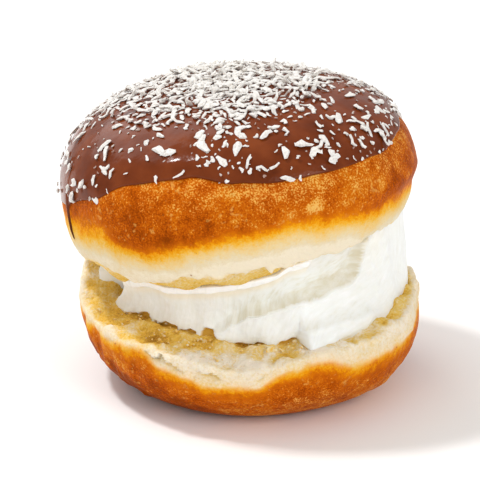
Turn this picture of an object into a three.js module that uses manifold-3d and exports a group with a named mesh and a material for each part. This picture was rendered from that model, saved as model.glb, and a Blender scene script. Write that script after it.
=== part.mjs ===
// A cream-filled doughnut. One round fried bun is slit from its right-hand side and opened on
// the uncut hinge at its back left. Whipped cream, laid in three folds, fills the slit. Chocolate
// icing covers the dome, and coconut flakes lie in the icing.
// Units are millimetres. +Z is up, the front faces -Y, and the origin is the middle of the flat
// spot that the bun rests on. A turn angle is 0 at the front and grows towards the right (+X).
// A table of [turn angle in degrees, value] runs once round the bun and closes on itself.
import * as THREE from "three";
import { mergeVertices } from "three/addons/utils/BufferGeometryUtils.js";
import Module from "manifold-3d";

const { clamp, degToRad, radToDeg, euclideanModulo, lerp, smoothstep } = THREE.MathUtils;
const wasm = await Module();
wasm.setup();

// Lower half of the bun
const LOWER_RADIUS = 46; // widest radius
const BASE_RADIUS = 26; // flat spot that it rests on
const LOWER_EQUATOR = 19.8; // mean height of the widest radius
const EQUATOR_LEAN = 2.9; // how much higher the equator lies at the left, and lower at the right
const LOWER_CROWN = 26; // how far the side would rise above the equator if it were not cut
const LOWER_MIDDLE = 24; // height of the cut face over the origin
const LOWER_RIM = [
  [-93, 22.8], [-60, 22.4], [-33, 22.2], [-17, 20.5], [3, 19.8], [16, 22],
  [32, 22.6], [60, 24], [80, 26], [100, 27.6], [135, 26.5], [180, 26],
]; // height of the cut edge
const LOWER_PRESS = [
  [-110, 0], [-92, 0.8], [-65, 0.7], [-45, 0.2], [-30, 0], [60, 0], [180, 0],
]; // how far the side is pressed in

// Upper half of the bun, measured in its own frame from the middle of its cut face
const UPPER_RADIUS = 47.2; // widest radius, the largest of the whole doughnut
const RIM_RADIUS = 43.2; // radius where the skin meets the plane of the cut
const BULGE_RADIUS = 25; // radius about which the side below the equator bulges
const UPPER_EQUATOR = 12; // height of the widest radius above the plane of the cut
const DOME_HEIGHT = 28; // dome above the equator
const DOME_POWER = 2.7; // 2 is an ellipse, and more gives a flatter top with fuller shoulders
const DOME_LEAN = [-0.14, 0.16]; // how much fuller the dome is towards +X and +Y, as a share
const UPPER_MIDDLE = 1.5; // how far the cut face arches up over the middle
const UPPER_RIM = [
  [-90, 3.2], [-62, 4.2], [-54, 3.2], [-49, 1.2], [-44, -0.5], [-39, -1], [-30, -0.5], [-20, 0.4],
  [-12, 0.1], [-6, -0.7], [4, -1.1], [14, -1.6], [20, -1.7], [28, -1.3], [40, -0.4], [50, 0.4],
  [70, 0.2], [110, 0.5], [160, 0], [220, 0.5],
]; // height of the torn cut edge
const UPPER_TUCK = [
  [-90, 0], [20, 0], [55, 1], [75, 1.7], [95, 1.7], [120, 1], [160, 0], [250, 0],
]; // how far the side is tucked in below the equator
const TUCK_REACH = 0.25; // lift below the equator, in radians, at which it is tucked in fully
const UNDERSIDE_SAG = [
  [-110, 0], [-95, 4], [-85, 5.3], [-75, 5.6], [-62, 7], [-52, 5.4], [-44, 4.2], [-37, 4.5], [-26, 5.5],
  [-6, 5.3], [3, 5], [9, 4.2], [17, 1.4], [23, 1.1], [29, 0], [180, 0],
]; // how far the cut face sags behind its edge, where it rests on the cream
const SAG_INNER = [0.1, 0.5]; // shares of the rim's radius between which the sag begins
const SAG_OUTER = [0.8, 1]; // and between which it ends

// Both halves
const LOWER_LOBES = -0.5; // phase of the lobes in the lower outline
const UPPER_LOBES = 2; // and in the upper outline
const LOBES = [{ count: 3, size: 0.006, phases: 1 }, { count: 5, size: 0.004, phases: -2 }];
const CRUMB_HEIGHT = [0.6, 0.5]; // unevenness of the lower and the upper cut face
const CRUMB_PITCH = [0.42, 0.47]; // radians to the millimetre of the waves along X and along Y
const CRUMB_BEND = [1.3, 1.1]; // how far each wave is bent by the other direction, in radians
const CRUMB_BEND_PITCH = [0.27, 0.33];
const CRUMB_BEND_PHASE = [0, 2];

// How the halves stand to each other
const UPPER_CENTRE = new THREE.Vector3(-0.4, 0, 40.2); // middle of the upper cut face
const HINGE_ANGLE = degToRad(235); // turn angle of the uncut hinge, at the back left
const OPENING = degToRad(12.1); // how far the slit is opened about the hinge
const HINGE_SPREAD = [22, 42].map(degToRad); // half-widths at which the hinge is whole, and ends
const HINGE_DEPTH = [29, 37]; // radii between which the lower cut face climbs to the upper half
const HINGE_RISE = 13; // how far it climbs
const HINGE_CROWN = 34; // how far the side would rise above the equator at the hinge

// Cream: the radius of its top fold, and how high up the slit the two folds below it reach, as a share
const CREAM_RADIUS = [
  [-116, 35], [-102, 40], [-92, 41], [-89.3, 40.6], [-87.3, 31.5], [-84, 29], [-82, 29], [-79, 34],
  [-76, 36.8], [-68, 35], [-60, 33.6], [-46, 32.3], [-36, 32.6], [-25, 30.6], [-8, 31], [8, 33],
  [22, 35.5], [40, 34.5], [64, 32.2], [74, 34], [90, 38.5], [130, 36], [170, 32], [205, 27], [235, 27],
];
const MIDDLE_FOLD = [
  [-21, 0], [-14, 0.13], [-8, 0.3], [0, 0.42], [13, 0.43], [21, 0.47], [30, 0.43], [46, 0.43], [52, 0.45],
  [57, 0.57], [63, 0.76], [69, 1], [150, 0.9], [200, 0.3], [230, 0],
];
const LOWER_FOLD = [
  [18.8, 0], [20.2, 0.17], [29, 0.16], [38, 0.14], [48, 0.11], [60, 0.04], [70, 0],
  [118, 0], [135, 0.2], [165, 0.3], [195, 0],
];
const MIDDLE_STEP = 2.6; // how far the ridge of the middle fold stands out
const LOWER_STEP = 2.4; // and that of the lower fold
const MIDDLE_FOOT = [
  [-25, 3], [8, 4], [22, 3.6], [44, 3.4], [54, 5], [63, 7], [72, 6.2], [84, 4.4], [95, 3.4], [180, 3.4],
]; // how far the foot of the middle fold stands out
const LOWER_FOOT = [[12, 3], [20, 5.6], [33, 4.4], [48, 2.8], [70, 1.5], [180, 1.5]]; // and of the lower
const FOLD_HOLLOW = 0.16; // share of the wall's height that is hollowed above a ridge
const HOLLOW_POWER = 2.2; // how sharply the hollow turns into the ridge
const FOLD_BELLY = 0.7; // how far a fold bulges between its ridge and its foot
const FOLD_FADE = 0.12; // a fold lower than this share fades into the wall
const RIDGE = [-0.03, 0.01]; // shares below and above a fold's top that draw its ridge
const CREAM_TROUGH = [
  [-25, 0], [-8, 1.5], [8, 2.5], [40, 2.5], [58, 1.5], [70, 0], [180, 0],
]; // depth of the trough over the middle fold
const LIP_LEAN = [
  [-68, 0], [-54, 1.9], [-40, 2.4], [10, 2.4], [22, 1.9], [30, 0], [180, 0],
]; // how far the top edge leans out over the wall
const CREAM_FOOT = [
  [-76, 37.2], [-68, 36.6], [-60, 34.6], [-50, 33.8], [-40, 33.6], [-30, 33], [-20, 33], [-12, 34.6],
  [-4, 34], [2, 34.6], [8, 37.2], [14, 37.2], [19, 36.4], [20.6, 44.8], [28, 42.8], [36, 41.4],
  [46, 40.3], [56, 40], [70, 40.1], [80, 40.6], [93, 42.2], [130, 40], [180, 38],
]; // radius of the wall's foot
const FOOT_HELD = [[-84, 0], [-76, 1], [95, 1], [115, 0], [180, 0]]; // how closely the foot keeps to it
const FOOT_REACH = 0.4; // share of the wall's height over which the foot runs into the wall
const CREAM_LIP = [
  [-92, -4], [-68, -3.2], [-50, -3.2], [-44, -3.7], [-37, -4.3], [-26, -5.2], [-6, -5.3], [3, -4.7],
  [9, -4.3], [17, -2], [23, -1.6], [28, 0], [36, 2], [200, 2], [240, -3],
]; // height of the cream's top edge over the plane of the upper cut; above it the cream is pressed flat
const END_ANGLE = degToRad(-66); // the wall ends at the left in a slanting face
const END_SPREAD = degToRad(14);
const END_SLANT = degToRad(14); // turn angle between the foot and the top of that face
const CREAM_START = -0.2; // share of the wall's height at which the profile starts, below the lower cut face
const CREAM_DEPTH = 3.4; // how far below that face it starts over the origin
const CREAM_RISE = 6; // how far its top reaches above the plane of the upper cut before it is pressed flat
const CREAM_TOP_SHARES = [0.94, 0.5, 0];
const LOW_ROWS = [0.05, 0.3]; // range of the rows that draw the lower ridge, where there is none too
const MID_ROWS = 0.8; // highest row that draws the middle ridge
const ROW_STEP = 0.1; // least distance of one group of rows from the next
const CREAM_SIDES = 96;

// Icing and flakes
const ICING_THICKNESS = 1;
const ICING_EDGE = [
  [-100, 3], [-75, 6], [-51, 13], [-34, 22], [-12, 25.6], [1, 19.6], [16, 15.9], [35, 14.6],
  [54, 15.6], [73, 20.8], [90, 25.6], [125, 20], [150, 16], [178, 23], [205, 13], [232, 17],
]; // lift of the lower edge, in degrees above the equator
const FLAKE_COUNT = 90;
const FLAKE_LENGTH = [2.6, 5.4];
const FLAKE_WIDTH = [1.2, 2];
const FLAKE_THICKNESS = 0.9;
const FLAKE_ENDS = [0.35, 0.5]; // half-widths of a flake's two ends, as shares of its width
const FLAKE_TILT = 0.2; // largest tilt of a flake out of the icing, in radians
const FLAKE_SEAT = 0.15; // height of a flake's middle above the icing
const FLAKE_REACH = 0.93; // share of the way from the top to the icing's edge that flakes reach
const FLAKE_CROWDING = 0.6; // below 1 spreads flakes evenly over the dome's area
const FLAKE_STEPS = {
  turn: 0.7548777, reach: 0.5698403, length: 0.618034, width: 0.4142136, tilt: 0.324718, lie: 0.8191725,
}; // step of the even scatter from one flake to the next, for each thing that differs
const EDGE_ROUNDING = 0.35; // how far the icing's lower edge is drawn in, as a share of its thickness

// Resolution and the clearance between neighbouring solids
const SIDES = 56;
const SIDE_LIFTS = [-90, -66, -44, -22, 0].map(degToRad);
const CUT_SHARES = [0, 0.2, 0.4, 0.58, 0.74, 0.87, 0.95];
const BAND_SHARES = [0, 0.33, 0.67];
const DOME_SHARES = [0, 0.1, 0.23, 0.37, 0.51, 0.65, 0.78, 0.9, 1];
const GAP = 0.3;
const FINEST = 0.02; // details smaller than this are merged

/** Value of a table at a turn angle, eased from each entry to the next. */
function around(table, angle) {
  const first = table[0][0];
  const turn = first + euclideanModulo(radToDeg(angle) - first, 360);
  const closed = [...table, [first + 360, table[0][1]]];
  const next = closed.findIndex(([at]) => at > turn);
  const [[from, start], [to, end]] = closed.slice(next - 1, next + 1);
  return lerp(start, end, smoothstep(turn, from, to));
}

/** Coarse unevenness of torn crumb at a place in plan, between -1 and 1: two waves that bend each other. */
function crumb(x, y) {
  const [across, along] = [[x, y], [y, x]].map(([main, other], axis) => {
    const bend = Math.sin(CRUMB_BEND_PITCH[axis] * other + CRUMB_BEND_PHASE[axis]);
    return Math.sin(CRUMB_PITCH[axis] * main + CRUMB_BEND[axis] * bend);
  });
  return (across + along) / 2;
}

/** Slight unevenness of the bun's outline, as a factor near 1 that differs from half to half. */
function outline(angle, phase) {
  return LOBES.reduce((factor, { count, size, phases }) => {
    return factor + size * Math.cos(count * angle + phases * phase);
  }, 1);
}

/** Plan coordinates of a point at a radius and a turn angle. */
function plan(radius, angle) {
  return [radius * Math.sin(angle), -radius * Math.cos(angle)];
}

/** A lathe whose profile changes as it turns. profileAt(angle) runs from the lower pole to the upper. */
function turnedSolid(profileAt, sides = SIDES) {
  const geometry = new THREE.LatheGeometry(profileAt(0), sides);
  const position = geometry.getAttribute("position");
  for (let side = 0; side <= sides; side++) {
    const angle = ((side % sides) * 2 * Math.PI) / sides;
    profileAt(angle).forEach(({ x, y }, row, { length }) => {
      position.setXYZ(side * length + row, x * Math.sin(angle), y, x * Math.cos(angle));
    });
  }
  return geometry.rotateX(Math.PI / 2);
}

/** A closed three.js geometry as a solid that can be joined and cut. */
function toSolid(geometry) {
  const bare = geometry.clone();
  bare.deleteAttribute("normal");
  bare.deleteAttribute("uv");
  const merged = mergeVertices(bare);
  const triangles = [];
  for (let i = 0; i < merged.index.count; i += 3) {
    const corners = [0, 1, 2].map((corner) => merged.index.getX(i + corner));
    if (new Set(corners).size === 3) triangles.push(...corners);
  }
  const vertProperties = new Float32Array(merged.getAttribute("position").array);
  const triVerts = new Uint32Array(triangles);
  return new wasm.Manifold(new wasm.Mesh({ numProp: 3, vertProperties, triVerts }));
}

/** A solid as a named mesh, without the slivers that joining and cutting leave. */
function toMesh(name, solid, material) {
  const { vertProperties, triVerts } = solid.simplify(FINEST).getMesh();
  const geometry = new THREE.BufferGeometry();
  geometry.setAttribute("position", new THREE.BufferAttribute(vertProperties, 3));
  geometry.setIndex(new THREE.BufferAttribute(triVerts, 1));
  geometry.computeVertexNormals();
  const mesh = new THREE.Mesh(geometry, material);
  mesh.name = name;
  return mesh;
}

// Place of the upper half: its axis leans towards the hinge by the opening angle.
const hingeward = new THREE.Vector3(...plan(1, HINGE_ANGLE), 0);
const upperAxis = hingeward.clone().multiplyScalar(Math.sin(OPENING)).setZ(Math.cos(OPENING));
const upperTurn = new THREE.Quaternion().setFromUnitVectors(new THREE.Vector3(0, 0, 1), upperAxis);
const upperPlace = new THREE.Matrix4().compose(UPPER_CENTRE, upperTurn, new THREE.Vector3(1, 1, 1));

/** How far a turn angle belongs to the hinge: 1 where the bun is uncut, 0 where it is slit. */
function hinge(angle) {
  return 1 - smoothstep(Math.acos(Math.cos(angle - HINGE_ANGLE)), ...HINGE_SPREAD);
}

/** Height of the lower cut face: from its middle to its edge, climbing to the upper half at the hinge. */
function lowerCut(x, y) {
  const angle = Math.atan2(x, -y);
  const radius = Math.hypot(x, y);
  const face = lerp(LOWER_MIDDLE, around(LOWER_RIM, angle), (radius / LOWER_RADIUS) ** 2);
  const climb = HINGE_RISE * hinge(angle) * smoothstep(radius, ...HINGE_DEPTH);
  return face + climb + CRUMB_HEIGHT[0] * crumb(x, y);
}

/** Profile of the lower half: flat base, round side up to the cut edge, then in along the cut face. */
function lowerProfile(angle) {
  const bulge = LOWER_RADIUS * outline(angle, LOWER_LOBES) - around(LOWER_PRESS, angle) - BASE_RADIUS;
  const equator = LOWER_EQUATOR - EQUATOR_LEAN * Math.sin(angle);
  const crown = lerp(LOWER_CROWN, HINGE_CROWN, hinge(angle));
  const rimLift = Math.asin((lowerCut(...plan(LOWER_RADIUS, angle)) - equator) / crown);
  const profile = [new THREE.Vector2(0, 0)];
  for (const lift of [...SIDE_LIFTS, rimLift]) {
    const rise = (lift < 0 ? equator : crown) * Math.sin(lift);
    profile.push(new THREE.Vector2(BASE_RADIUS + bulge * Math.cos(lift), equator + rise));
  }
  const rim = profile.at(-1).x;
  for (const share of CUT_SHARES.toReversed()) {
    profile.push(new THREE.Vector2(share * rim, lowerCut(...plan(share * rim, angle))));
  }
  return profile;
}

// How far the side of the upper half falls from the equator to straight below the bulge.
const rimShare = (RIM_RADIUS - BULGE_RADIUS) / (UPPER_RADIUS - BULGE_RADIUS);
const UPPER_DROP = UPPER_EQUATOR / Math.sqrt(1 - rimShare ** 2);

/** Lift of the icing's lower edge at a turn angle. */
function icingEdge(angle) {
  return degToRad(around(ICING_EDGE, angle));
}

/** Lift of the upper half's cut edge, below the equator. */
function rimLift(angle) {
  return Math.asin((around(UPPER_RIM, angle) - UPPER_EQUATOR) / UPPER_DROP);
}

/**
 * Point on the upper half's skin as radius and height. The lift is -90 degrees straight below the
 * bulge, 0 at the equator and 90 degrees at the top of the dome. The offset is along the normal.
 */
function upperSkin(angle, lift, offset = 0) {
  const widest = UPPER_RADIUS * outline(angle, UPPER_LOBES);
  const point = new THREE.Vector2();
  const normal = new THREE.Vector2();
  if (lift < 0) {
    const bulge = widest - BULGE_RADIUS;
    const tuck = around(UPPER_TUCK, angle) * smoothstep(-lift, 0, TUCK_REACH);
    point.set(BULGE_RADIUS + bulge * Math.cos(lift) - tuck, UPPER_EQUATOR + UPPER_DROP * Math.sin(lift));
    normal.set(Math.cos(lift) / bulge, Math.sin(lift) / UPPER_DROP);
  } else {
    const out = Math.abs(Math.cos(lift)) ** (2 / DOME_POWER);
    const up = Math.sin(lift) ** (2 / DOME_POWER);
    const [leanX, leanY] = plan(out, angle).map((along, axis) => along * DOME_LEAN[axis]);
    point.set(widest * out, UPPER_EQUATOR + DOME_HEIGHT * up * (1 + leanX + leanY));
    normal.set(out ** (DOME_POWER - 1) / widest, up ** (DOME_POWER - 1) / DOME_HEIGHT);
  }
  return point.addScaledVector(normal.normalize(), offset);
}

/** Lifts of the rows that the dome and the icing on it share, from the icing's edge to the top. */
function domeLifts(angle) {
  return DOME_SHARES.map((share) => lerp(icingEdge(angle), Math.PI / 2, share));
}

/** Profile of the upper half: out along the cut face, round the bulging side and over the dome. */
function upperProfile(angle) {
  const rim = upperSkin(angle, rimLift(angle));
  const profile = CUT_SHARES.map((share) => {
    const radius = share * rim.x;
    const sagging = smoothstep(share, ...SAG_INNER) * (1 - smoothstep(share, ...SAG_OUTER));
    const face = lerp(UPPER_MIDDLE, rim.y, share ** 2) - sagging * around(UNDERSIDE_SAG, angle);
    return new THREE.Vector2(radius, face + CRUMB_HEIGHT[1] * crumb(...plan(radius, angle)));
  });
  for (const share of BAND_SHARES) {
    profile.push(upperSkin(angle, lerp(rimLift(angle), icingEdge(angle), share)));
  }
  profile.push(...domeLifts(angle).map((lift) => upperSkin(angle, lift)));
  profile.at(-1).x = 0;
  return profile;
}

/** Height of the plane of the upper cut over a place in plan. */
function ceiling(x, y) {
  const lean = (x - UPPER_CENTRE.x) * upperAxis.x + (y - UPPER_CENTRE.y) * upperAxis.y;
  return UPPER_CENTRE.z - lean / upperAxis.z;
}

/** Radius of the cream's top fold at a share of the wall's height, with the slanting end at the left. */
function creamRadius(angle, share) {
  const fromEnd = Math.atan2(Math.sin(angle - END_ANGLE), Math.cos(angle - END_ANGLE)) / END_SPREAD;
  return around(CREAM_RADIUS, angle - END_SLANT * Math.exp(-(fromEnd ** 2)) * Math.max(share, 0));
}

/** How far a fold stands out at a share of the wall's height: a hollow, a ridge at its top, and a belly. */
function fold(share, top, step, foot) {
  const above = clamp((share - top) / FOLD_HOLLOW, 0, 1);
  const below = clamp((top - share) / Math.max(top, FOLD_FADE), 0, 1);
  const belly = lerp(step, foot, below) + FOLD_BELLY * Math.sin(Math.PI * below);
  return smoothstep(top, 0, FOLD_FADE) * (share > top ? step * (1 - above) ** HOLLOW_POWER : belly);
}

/** Radius of the cream's wall with its folds, the trough over the middle one and the leaning top edge. */
function creamWall(angle, share) {
  const top = around(MIDDLE_FOLD, angle);
  const trough = around(CREAM_TROUGH, angle);
  const middle = fold(share, top, MIDDLE_STEP + trough, around(MIDDLE_FOOT, angle) + trough);
  const lower = fold(share, around(LOWER_FOLD, angle), LOWER_STEP, around(LOWER_FOOT, angle));
  const rise = share > top ? (share - top) / (1 - top) : 0;
  const lean = around(LIP_LEAN, angle) * rise - trough * (1 - rise ** 2);
  return creamRadius(angle, share) + middle + lower + lean;
}

/** Profile of the cream before the bun presses it flat: a wall on its foot, then the top. */
function creamProfile(angle) {
  const low = clamp(around(LOWER_FOLD, angle), ...LOW_ROWS);
  const mid = clamp(around(MIDDLE_FOLD, angle), low + ROW_STEP, MID_ROWS);
  const hollow = mid + ROW_STEP;
  const ridges = [low, mid].flatMap((top) => RIDGE.map((beside) => top + beside));
  const shares = [CREAM_START, low / 2, (low + mid) / 2, hollow, (hollow + 1) / 2, 1, ...ridges];
  const lip = around(CREAM_LIP, angle);
  const held = around(FOOT_HELD, angle) * (around(CREAM_FOOT, angle) - creamWall(angle, 0));
  const profile = shares.sort((a, b) => a - b).map((share) => {
    const radius = creamWall(angle, share) + held * (1 - clamp(share / FOOT_REACH, 0, 1)) ** 2;
    const [x, y] = plan(radius, angle);
    return new THREE.Vector2(radius, lerp(lowerCut(x, y), ceiling(x, y) + lip, share));
  });
  const edge = profile.at(-1).x;
  for (const share of CREAM_TOP_SHARES) {
    profile.push(new THREE.Vector2(share * edge, ceiling(...plan(share * edge, angle)) + CREAM_RISE));
  }
  return [new THREE.Vector2(0, LOWER_MIDDLE - CREAM_DEPTH), ...profile];
}

/** Profile of the icing: down the inside of the shell from the top of the dome, and up its outside. */
function icingProfile(angle) {
  const lifts = domeLifts(angle);
  const inside = lifts.map((lift) => upperSkin(angle, lift, GAP));
  const outside = lifts.map((lift) => upperSkin(angle, lift, GAP + ICING_THICKNESS));
  outside[0].lerp(inside[0], EDGE_ROUNDING);
  inside.at(-1).x = 0;
  outside.at(-1).x = 0;
  return [...inside.reverse(), ...outside];
}

/** Member of an even, repeatable scatter between 0 and 1. */
function scatter(index, step) {
  return (0.5 + index * step) % 1;
}

/** One coconut flake: a thin tapered slab lying in the icing, turned and tilted its own way. */
function makeFlake(index) {
  const angle = 2 * Math.PI * scatter(index, FLAKE_STEPS.turn);
  const reach = FLAKE_REACH * scatter(index, FLAKE_STEPS.reach) ** FLAKE_CROWDING;
  const lift = lerp(Math.PI / 2, icingEdge(angle), reach);
  const length = lerp(...FLAKE_LENGTH, scatter(index, FLAKE_STEPS.length));
  const width = lerp(...FLAKE_WIDTH, scatter(index, FLAKE_STEPS.width));
  const flake = new THREE.CylinderGeometry(...FLAKE_ENDS, length, 4, 1).rotateY(Math.PI / 4);
  flake.scale(width * Math.SQRT2, 1, FLAKE_THICKNESS * Math.SQRT2);
  const tilt = FLAKE_TILT * (2 * scatter(index, FLAKE_STEPS.tilt) - 1);
  flake.rotateX(tilt).rotateZ(2 * Math.PI * scatter(index, FLAKE_STEPS.lie));
  const [at, above] = [0, 1].map((offset) => {
    const { x, y } = upperSkin(angle, lift, GAP + ICING_THICKNESS + FLAKE_SEAT + offset);
    return new THREE.Vector3(...plan(x, angle), y);
  });
  const lie = new THREE.Quaternion().setFromUnitVectors(new THREE.Vector3(0, 0, 1), above.sub(at));
  return flake.applyQuaternion(lie).translate(at.x, at.y, at.z);
}

// The bun is both halves, joined where they meet over the hinge.
const lower = turnedSolid(lowerProfile);
const upper = turnedSolid(upperProfile).applyMatrix4(upperPlace);
const bun = toSolid(lower).add(toSolid(upper));

// The cream is pressed to the shape of the slit, clear of both cut faces.
const aboveLower = toSolid(lower.clone().translate(0, 0, GAP));
const belowUpper = toSolid(upper.clone().translate(...upperAxis.clone().multiplyScalar(-GAP)));
const cream = toSolid(turnedSolid(creamProfile, CREAM_SIDES)).subtract(aboveLower).subtract(belowUpper);

// The flakes are fused to the icing that they lie in.
const flakes = Array.from({ length: FLAKE_COUNT }, (_, index) => toSolid(makeFlake(index)));
const icing = flakes.reduce((joined, flake) => joined.add(flake), toSolid(turnedSolid(icingProfile)));

const friedDough = new THREE.MeshStandardMaterial({ color: "#c66a1c", roughness: 0.65, metalness: 0 });
const whippedCream = new THREE.MeshStandardMaterial({ color: "#f2efe3", roughness: 0.6, metalness: 0 });
const chocolate = new THREE.MeshStandardMaterial({ color: "#6f3a20", roughness: 0.3, metalness: 0 });

const upperGroup = new THREE.Group();
upperGroup.applyMatrix4(upperPlace);
upperGroup.add(toMesh("icing", icing, chocolate));

const doughnut = new THREE.Group();
doughnut.add(toMesh("bun", bun, friedDough), toMesh("cream", cream, whippedCream), upperGroup);

export default doughnut;
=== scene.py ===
"""A cream-filled doughnut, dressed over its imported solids.

The bun is fried dough, slit from the right and opened on an uncut hinge at the back left. Folds of
whipped cream fill the slit, milk chocolate icing covers the dome, and coconut lies in the icing.
Lengths in the shape functions are millimetres. A turn angle is 0 at the front (-Y) and grows towards
the right (+X). A lift is an angle up the upper half's skin: 0 at its widest, 90 degrees at the top.
"""

import bpy
import numpy as np
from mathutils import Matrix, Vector


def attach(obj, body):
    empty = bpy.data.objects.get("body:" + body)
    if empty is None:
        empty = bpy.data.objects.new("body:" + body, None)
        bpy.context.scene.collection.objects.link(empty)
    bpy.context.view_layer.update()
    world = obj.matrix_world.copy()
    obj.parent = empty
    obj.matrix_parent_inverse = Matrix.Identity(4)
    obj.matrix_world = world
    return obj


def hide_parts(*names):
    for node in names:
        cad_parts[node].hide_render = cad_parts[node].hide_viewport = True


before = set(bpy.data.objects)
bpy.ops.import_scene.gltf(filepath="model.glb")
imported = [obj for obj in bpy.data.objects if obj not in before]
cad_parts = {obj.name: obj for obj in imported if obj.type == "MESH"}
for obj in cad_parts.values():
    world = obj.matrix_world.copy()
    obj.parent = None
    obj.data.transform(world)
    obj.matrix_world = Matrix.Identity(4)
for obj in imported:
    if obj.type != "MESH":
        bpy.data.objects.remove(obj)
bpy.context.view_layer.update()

bl_info = {
    "name": "Cream-filled doughnut",
    "version": (1, 0, 0),
    "blender": (4, 5, 0),
    "location": "3D View > Sidebar > Doughnut",
    "description": "Builds a filled, iced doughnut and a plain studio round it",
    "category": "Object",
}

MM = 0.001

# The tables hold pairs of a turn angle in degrees and a value. They run once round the bun and close on
# themselves.

# The bun, in millimetres: heights of its cut edges and of its lower crust, how far the upper face sags
# and both sides are drawn in, and how deep its torn edge and groove are.
LOWER_RIM = (
    (-93, 22.8), (-60, 22.4), (-33, 22.2), (-17, 20.5), (3, 19.8), (16, 22), (32, 22.6), (60, 24),
    (80, 26), (100, 27.6), (135, 26.5), (180, 26),
)
UPPER_RIM = (
    (-90, 3.2), (-62, 4.2), (-54, 3.2), (-49, 1.2), (-44, -0.5), (-39, -1), (-30, -0.5), (-20, 0.4),
    (-12, 0.1), (-6, -0.7), (4, -1.1), (14, -1.6), (20, -1.7), (28, -1.3), (40, -0.4), (50, 0.4),
    (70, 0.2), (110, 0.5), (160, 0), (220, 0.5),
)
LOWER_CRUST = (
    (-110, 20), (-93, 20.5), (-52, 19.4), (-38, 19.6), (-29, 16.6), (-12, 14.2), (1, 14.2), (12, 18.4),
    (24, 19.8), (38, 16.8), (51, 17.2), (64, 17.6), (78, 20.5), (100, 21), (140, 18.5), (190, 19),
)
UNDERSIDE_SAG = (
    (-110, 0), (-95, 4), (-85, 5.3), (-75, 5.6), (-62, 7), (-52, 5.4), (-44, 4.2), (-37, 4.5),
    (-26, 5.5), (-6, 5.3), (3, 5), (9, 4.2), (17, 1.4), (23, 1.1), (29, 0), (180, 0),
)
UPPER_TUCK = ((-90, 0), (20, 0), (55, 1), (75, 1.7), (95, 1.7), (120, 1), (160, 0), (250, 0))
LOWER_PRESS = ((-110, 0), (-92, 0.8), (-65, 0.7), (-45, 0.2), (-30, 0), (60, 0), (180, 0))
RIM_TEETH = (
    (-14, 0), (-9, -0.7), (-6.5, 0.3), (-2, 0.2), (-0.5, -0.3), (1, 0.5), (5.5, 1.2), (8, -0.9),
    (9.5, 0.6), (12, 0.3), (14, 0), (180, 0),
)
TORN_GROOVE = ((-60, 0), (-50, 0.7), (-42, 1.2), (-28, 1.4), (-14, 1), (2, 0.5), (12, 0), (180, 0))

# The lower ends of the upper crust and of the icing, in degrees of lift.
UPPER_CRUST = (
    (-110, 2), (-86, 4.4), (-58, 2.4), (-49, 0.3), (-41, -6), (-30, -9.3), (-5, -9.8), (6, -12),
    (18, -11.4), (27, -14), (37, -13.8), (46, -17), (57, -13), (80, -14), (120, -11), (180, -13),
    (225, -7),
)
ICING_EDGE = (
    (-100, 3), (-75, 6), (-51, 13), (-34, 22), (-12, 25.6), (1, 19.6), (16, 15.9), (35, 14.6),
    (54, 15.6), (73, 20.8), (90, 25.6), (125, 20), (150, 16), (178, 23), (205, 13), (232, 17),
)

# Strengths from about -1 to 3: how brown the crust is, how wrinkled, and how pale its torn edge. On the
# # lower half the brownness also holds painted light: darker at the lower left as painted shade, and
# # lighter towards the front right as painted light.
LOWER_TAN_AND_PAINTED_LIGHT = (
    (-100, 2.9), (-53, 2.5), (-26, 1.6), (0, -0.5), (37, -0.3), (62, -0.9), (110, 0.4), (180, 1),
)
UPPER_TAN = (
    (-100, 1.5), (-61, 1.4), (-26, 0.8), (0, 0), (20, -0.5), (45, 0.1), (60, 0.6), (110, 0.7),
    (180, 0.5),
)
WRINKLED = ((-92, 0), (-74, 1), (-48, 0.8), (-38, 0), (46, 0), (56, 0.5), (66, 0.5), (74, 0), (180, 0))
PALE_TEAR = ((-100, 0.25), (-60, 0.35), (-40, 0.6), (-20, 1), (18, 1), (45, 0.7), (72, 0.05), (110, 0))

# The cream, in millimetres: radii of its wall and its foot, height of its lip over the upper half's
# plane, how far its two folds stand out at the foot, and how deep its dollop is rounded, its wall
# hollowed above the folds and its foot torn.
CREAM_RADIUS = (
    (-116, 35), (-102, 40), (-92, 41), (-89.3, 40.6), (-87.3, 31.5), (-84, 29), (-82, 29), (-79, 34),
    (-76, 36.8), (-68, 35), (-60, 33.6), (-46, 32.3), (-36, 32.6), (-25, 30.6), (-8, 31), (8, 33),
    (22, 35.5), (40, 34.5), (64, 32.2), (74, 34), (90, 38.5), (130, 36), (170, 32), (205, 27),
    (235, 27),
)
CREAM_BASE = (
    (-76, 37.2), (-68, 36.6), (-60, 34.6), (-50, 33.8), (-40, 33.6), (-30, 33), (-20, 33), (-12, 34.6),
    (-4, 34), (2, 34.6), (8, 37.2), (14, 37.2), (19, 36.4), (20.6, 44.8), (28, 42.8), (36, 41.4),
    (46, 40.3), (56, 40), (70, 40.1), (80, 40.6), (93, 42.2), (130, 40), (180, 38),
)
CREAM_LIP = (
    (-92, -4), (-68, -3.2), (-60, -3.2), (-50, -3.2), (-44, -3.7), (-37, -4.3), (-26, -5.2), (-6, -5.3),
    (3, -4.7), (9, -4.3), (17, -2), (23, -1.6), (28, 0), (36, 2), (200, 2), (240, -3),
)
FOLD_FOOT = (
    (-25, 3), (8, 4), (22, 3.6), (44, 3.4), (54, 5), (63, 7), (72, 6.2), (84, 4.4), (95, 3.4),
    (180, 3.4),
)
LOWER_FOOT = ((12, 3), (20, 5.6), (33, 4.4), (48, 2.8), (70, 1.5), (180, 1.5))
DOLLOP = ((-118, 0), (-104, 0.6), (-90, 0.6), (-87, 0), (180, 0))
TROUGH = ((-25, 0), (-8, 1.5), (8, 2.5), (40, 2.5), (58, 1.5), (70, 0), (180, 0))
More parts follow.
